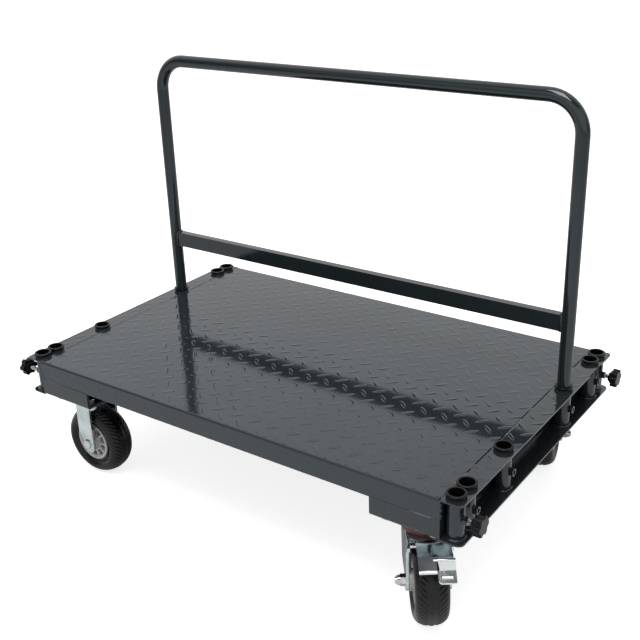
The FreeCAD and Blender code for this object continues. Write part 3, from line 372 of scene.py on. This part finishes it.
# Push bar: round steel tube bent to an upturned U with a rectangular crossbar welded between
# its legs, in darker gloss enamel. It stands loose in its two sockets.
BAR_DARK, BAR_LIGHT, BAR_ROUGHNESS = (0.008, 0.012, 0.014), (0.011, 0.015, 0.017), 0.07
bar_enamel = enamel("bar_enamel", BAR_DARK, BAR_LIGHT, BAR_ROUGHNESS)
bar_enamel.wear("push_bar", "push_bar_crossbar")
CROSSBAR_WELD, FLANK_WELD_OUT, EDGE_WELD_OUT = 0.0028, 0.4, 0.2
bar_low, bar_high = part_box("push_bar")
cross_low, cross_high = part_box("push_bar_crossbar")
leg_radius = (bar_high[1] - bar_low[1]) / 2
cross_half = (cross_high[1] - cross_low[1]) / 2
flank = math.sqrt(leg_radius ** 2 - cross_half ** 2)
bar_welds = bmesh.new()
for sign in SIDES.values():
    x = sign * (socket_x - flank - CROSSBAR_WELD * FLANK_WELD_OUT)
    for y in (cross_low[1], cross_high[1]):
        weld_bead(bar_welds, (x, y, cross_low[2]), (x, y, cross_high[2]), CROSSBAR_WELD)
    x = sign * (socket_x - leg_radius - CROSSBAR_WELD * EDGE_WELD_OUT)
    for z in (cross_low[2], cross_high[2]):
        weld_bead(bar_welds, (x, cross_low[1], z), (x, cross_high[1], z), CROSSBAR_WELD)
make_piece("push_bar_crossbar_welds", bar_welds, "push_bar", bar_enamel)


# Clamping screws: black moulded star knobs on bright threaded studs, which run in the weld nuts
# of the outermost sockets. The thread is one fine wave along the stud.
KNOB_DARK, KNOB_LIGHT = (0.003, 0.003, 0.003), (0.007, 0.007, 0.007)
STUD_ROOT_SHADE, STUD_LIGHT = (0.42, 0.42, 0.43), (0.80, 0.80, 0.81)
THREAD_PITCH, THREAD_RELIEF = 0.00125, 0.0005
knob_plastic = moulded("knob_plastic", KNOB_DARK, KNOB_LIGHT, scale=700.0, roughness=0.16, spread=0.16,
                       relief=0.00004, Specular_IOR_Level=0.14)
stud_steel = Finish("stud_steel", Metallic=1.0)
along = stud_steel.at.make("ShaderNodeSeparateXYZ", None, {"Vector": stud_steel.at})
ridge = (along * (2 * math.pi / THREAD_PITCH)).math("SINE") * 0.5 + 0.5
# The stud's colour is painted shade: darker in the thread's roots, bright on its crests.
stud_steel.feed(Base_Color=ridge.between(STUD_ROOT_SHADE, STUD_LIGHT), Roughness=0.3 - 0.12 * ridge)
stud_steel.bump(ridge, THREAD_RELIEF)
for side in SIDES:
    for row in ROWS:
        knob_plastic.wear(f"{side}_{row}_clamp_knob")
        stud_steel.wear(f"{side}_{row}_clamp_stud")


# Casters: pressed steel plates and forks under zinc plate, held by plated bolts, nuts and kingpins.
# The swivel pair has a red-brown seal in its raceway and a plated pedal that presses a rubber shoe.
ZINC_DARK, ZINC_LIGHT = (0.40, 0.46, 0.48), (0.62, 0.67, 0.68)
PEDAL_DARK, PEDAL_LIGHT = (0.58, 0.62, 0.63), (0.70, 0.73, 0.74)
STEEL_DARK, STEEL_LIGHT = (0.40, 0.42, 0.43), (0.60, 0.62, 0.63)
SEAL_DARK, SEAL_LIGHT = (0.10, 0.028, 0.025), (0.17, 0.055, 0.05)
SHOE_DARK, SHOE_LIGHT = (0.012, 0.012, 0.012), (0.022, 0.022, 0.022)
MARK_SCALE, MARK_RELIEF = 400.0, 0.00004
MOTTLE_DULLING, MARK_DULLING = 0.12, 0.06


def plated(name, dark, light, roughness, mottle):
    """Zinc plate: bright metal with a faint blue mottle and fine rolling marks."""
    finish = Finish(name, Metallic=1.0)
    patches = finish.at.noise(mottle, detail=4.0, roughness=0.6)
    marks = finish.at.noise(MARK_SCALE, detail=3.0)
    dulling = MOTTLE_DULLING * patches.steps(low=0.35, high=0.75) + MARK_DULLING * marks
    colour = patches.steps(low=0.3, high=0.7).between(dark, light)
    finish.feed(Base_Color=colour, Roughness=roughness + dulling)
    return finish.bump(marks, MARK_RELIEF)


zinc = plated("zinc", ZINC_DARK, ZINC_LIGHT, roughness=0.11, mottle=34.0)
pedal_zinc = plated("pedal_zinc", PEDAL_DARK, PEDAL_LIGHT, roughness=0.03, mottle=12.0)
bright_steel = plated("bright_steel", STEEL_DARK, STEEL_LIGHT, roughness=0.1, mottle=60.0)
seal_plastic = moulded("seal_plastic", SEAL_DARK, SEAL_LIGHT, scale=120.0, roughness=0.35, spread=0.2)
shoe_rubber = moulded("shoe_rubber", SHOE_DARK, SHOE_LIGHT, scale=500.0, roughness=0.6, spread=0.2)
bright_steel.wear("caster_mount_bolts", "caster_mount_nuts", "rigid_axle_bolts", "rigid_axle_nuts",
                  "swivel_kingpins")
for row in ROWS:
    zinc.wear(f"left_{row}_rigid_fork", f"right_{row}_swivel_plate", f"right_{row}_swivel_fork")
    pedal_zinc.wear(f"right_{row}_brake_pedal", f"right_{row}_brake_release_tab")
    bright_steel.wear(f"right_{row}_axle_bolt", f"right_{row}_axle_nut")
    seal_plastic.wear(f"right_{row}_swivel_seal")
    shoe_rubber.wear(f"right_{row}_brake_shoe")


# Wheels: grey moulded rims with ribs, turning on ball bearings, and black air tyres with a block
# tread, a smooth middle rib and plain sidewalls. Each tyre stands where its plain ring is.
RIM_DARK, RIM_LIGHT = (0.40, 0.40, 0.39), (0.50, 0.50, 0.49)
RUBBER_DARK, RUBBER_LIGHT = (0.002, 0.002, 0.002), (0.005, 0.005, 0.005)
rim_grey = Finish("rim_grey", Metallic=0.1, IOR=MOULDED_IOR)
cast = rim_grey.at.noise(scale=220.0, detail=4.0)
rim_grey.feed(Base_Color=cast.steps(low=0.3, high=0.7).between(RIM_DARK, RIM_LIGHT),
              Roughness=0.34 + 0.16 * cast)
rim_grey.bump(cast, distance=0.00008)
tyre_rubber = Finish("tyre_rubber", IOR=MOULDED_IOR, Specular_IOR_Level=0.3)
bloom = tyre_rubber.at.noise(scale=90.0, detail=4.0, roughness=0.6)
tyre_rubber.feed(Base_Color=bloom.steps(low=0.35, high=0.8).between(RUBBER_DARK, RUBBER_LIGHT),
                 Roughness=0.22 + 0.12 * bloom)
tyre_rubber.bump(tyre_rubber.at.noise(scale=700.0), distance=0.000012)
RIM_RADIUS, BEAD_HALF, RIM_SEAT = 0.0416, 0.0209, 0.0382
TYRE_RADIUS, TYRE_HALF = 0.075, 0.0285
SIDEWALL_TURN, SIDEWALL_POWER, OUTLINE_STEPS = math.radians(135), 2 / 1.95, 24
BLOCKS, STEPS_PER_BLOCK, STEPS_PER_GROOVE = 46, 10, 2
GROOVE_DEPTH, GROOVE_SLANT = 0.0024, 0.75
GROOVE_FROM, GROOVE_TO = 0.0085, 0.0232
RIB_HALF, RIB_GROOVE, RIB_DEPTH = 0.0042, 0.0064, 0.6


def tyre_mesh():
    """A tyre about Y at the origin: its outline spun round, the tread's grooves let into the crown."""
    middle = (RIM_RADIUS + TYRE_RADIUS) / 2
    rise = TYRE_RADIUS - middle
    outline = [(RIM_SEAT, -BEAD_HALF), (RIM_RADIUS, -BEAD_HALF)]
    for step in range(-OUTLINE_STEPS, OUTLINE_STEPS + 1):
        angle = SIDEWALL_TURN * step / OUTLINE_STEPS
        y = math.copysign(abs(math.sin(angle)) ** SIDEWALL_POWER, angle) * TYRE_HALF
        r = middle + math.copysign(abs(math.cos(angle)) ** SIDEWALL_POWER, math.cos(angle)) * rise
        outline.append((r, y))
    outline += [(RIM_RADIUS, BEAD_HALF), (RIM_SEAT, BEAD_HALF)]
    mesh = bmesh.new()
    corners = [mesh.verts.new((r, y, 0)) for r, y in outline]
    lines = [mesh.edges.new(pair) for pair in zip(corners, corners[1:])]
    steps = BLOCKS * STEPS_PER_BLOCK
    bmesh.ops.spin(mesh, geom=corners + lines, cent=(0, 0, 0), axis=(0, 1, 0), angle=2 * math.pi, steps=steps,
                   use_merge=True)
    for corner in mesh.verts:
        away = abs(corner.co.y)
        radius = math.hypot(corner.co.x, corner.co.z)
        if radius < middle:
            continue
        angle = math.atan2(corner.co.z, corner.co.x)
        step = round(angle / (2 * math.pi) * steps) + (STEPS_PER_BLOCK // 2 if corner.co.y > 0 else 0)
        groove = step % STEPS_PER_BLOCK < STEPS_PER_GROOVE and GROOVE_FROM < away < GROOVE_TO
        ringed = RIB_HALF < away < RIB_GROOVE
        depth = GROOVE_DEPTH if groove else GROOVE_DEPTH * RIB_DEPTH if ringed else 0
        angle += GROOVE_SLANT * away / radius
        corner.co.x = (radius - depth) * math.cos(angle)
        corner.co.z = (radius - depth) * math.sin(angle)
    return mesh


joints = {joint["name"]: joint for joint in frame["joints"]}
tyre_shape = tyre_mesh()
for side in SIDES:
    for row in ROWS:
        wheel = f"{side}_{row}_wheel"
        rim_grey.wear(f"{wheel}_rim")
        bright_steel.wear(f"{wheel}_bearings")
        spin = joints[f"{wheel}_spin"]
        mesh = tyre_shape.copy()
        across = Vector((0, 1, 0)).rotation_difference(Vector(spin["axis"])).to_matrix().to_4x4()
        bmesh.ops.transform(mesh, matrix=Matrix.Translation(spin["pos_m"]) @ across, verts=mesh.verts)
        tyre = make_piece(f"{wheel}_treaded_tyre", mesh, wheel, tyre_rubber)
        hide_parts(f"{wheel}_tyre")
tyre_shape.free()


# Studio: a plain pale floor that keeps the cart's shadow, white surroundings, and one broad soft
# light overhead. Gloss mirrors a bright backdrop behind the cart and a lower screen before it.
FLOOR_HALF, FLOOR_SEEN, FLOOR_MIRRORED = 12.0, 0.75, 0.06
floor_mesh = bmesh.new()
bmesh.ops.create_grid(floor_mesh, x_segments=2, y_segments=2, size=FLOOR_HALF)
floor_data = bpy.data.meshes.new("studio_floor")
floor_mesh.to_mesh(floor_data)
floor_mesh.free()
floor = bpy.data.objects.new("studio_floor", floor_data)
bpy.context.scene.collection.objects.link(floor)
floor_white = Finish("floor_white", Base_Color=(0.9, 0.9, 0.9, 1), Roughness=0.9, Emission_Strength=1.0)
direct = floor_white.at.make("ShaderNodeLightPath", output="Is Camera Ray")
mirrored_floor = floor_white.at.make("ShaderNodeLightPath", output="Is Glossy Ray")
glow = FLOOR_SEEN * direct + FLOOR_MIRRORED * mirrored_floor
floor_white.feed(Emission_Color=glow.between((0, 0, 0), (1, 1, 1)))
floor_data.materials.append(floor_white.material)

BACKDROP_HEADING, SCREEN_HEADING = (-0.48, 0.79, 0.35), (0.5, -0.7, 0.5)
SCREEN_TOP, SCREEN_FADE = 0.60, 0.72
MIRRORED_LEAST, MIRRORED_WALLS, ROOM_LIGHT = 0.12, 0.93, 0.55
world = bpy.data.worlds.new("white_studio")
bpy.context.scene.world = world
world.use_nodes = True
sky = world.node_tree
background = sky.nodes["Background"]
background.inputs["Color"].default_value = (1, 1, 1, 1)
seen = Signal(sky).make("ShaderNodeLightPath", output="Is Camera Ray")
mirrored = Signal(sky).make("ShaderNodeLightPath", output="Is Glossy Ray")
heading = Signal(sky).make("ShaderNodeTexCoord", output="Generated")


def towards(place):
    """How far the heading points at a place on the studio's wall, from -1 to 1."""
    return heading.make("ShaderNodeVectorMath", {"operation": "DOT_PRODUCT"}, {0: heading, 1: place},
                        output="Value")


fade = 1 - towards((0, 0, 1)).steps(SCREEN_TOP, SCREEN_FADE)
screen = towards(SCREEN_HEADING).steps(low=0.2, high=0.75) * fade
walls = towards(BACKDROP_HEADING).steps(low=-0.1, high=0.5).math("MAXIMUM", screen)
surroundings = mirrored * (MIRRORED_LEAST + MIRRORED_WALLS * walls) + (1 - mirrored) * ROOM_LIGHT
sky.links.new(seen.math("MAXIMUM", surroundings).socket, background.inputs["Strength"])

LIGHT_PLACE, LIGHT_AIM = Vector((0.5, -0.9, 3.0)), Vector((0, 0, 0.25))
lamp = bpy.data.lights.new("overhead_box", "AREA")
lamp.size = 1.5
lamp.energy = 55
overhead_box = bpy.data.objects.new("overhead_box", lamp)
overhead_box.location = LIGHT_PLACE
overhead_box.rotation_euler = (LIGHT_AIM - LIGHT_PLACE).to_track_quat("-Z", "Y").to_euler()
bpy.context.scene.collection.objects.link(overhead_box)


# Camera: the photograph's own angle and lens, from a little above the cart's front right corner.
# It has no shift and no blur.
CAMERA_PLACE = Vector((1.0639, -1.4409, 1.1275))
CAMERA_YAW, CAMERA_PITCH, CAMERA_ROLL = math.radians(35.987), math.radians(23.618), math.radians(-1.953)
lens = bpy.data.cameras.new("photo_camera")
lens.lens = 55.32
lens.sensor_width = 36.0
camera = bpy.data.objects.new("photo_camera", lens)
camera.matrix_world = (
    Matrix.Translation(CAMERA_PLACE) @ Matrix.Rotation(CAMERA_YAW, 4, "Z")
    @ Matrix.Rotation(math.pi / 2 - CAMERA_PITCH, 4, "X") @ Matrix.Rotation(CAMERA_ROLL, 4, "Z"))
bpy.context.scene.collection.objects.link(camera)
bpy.context.scene.camera = camera
bpy.context.scene.view_settings.view_transform = "Standard"
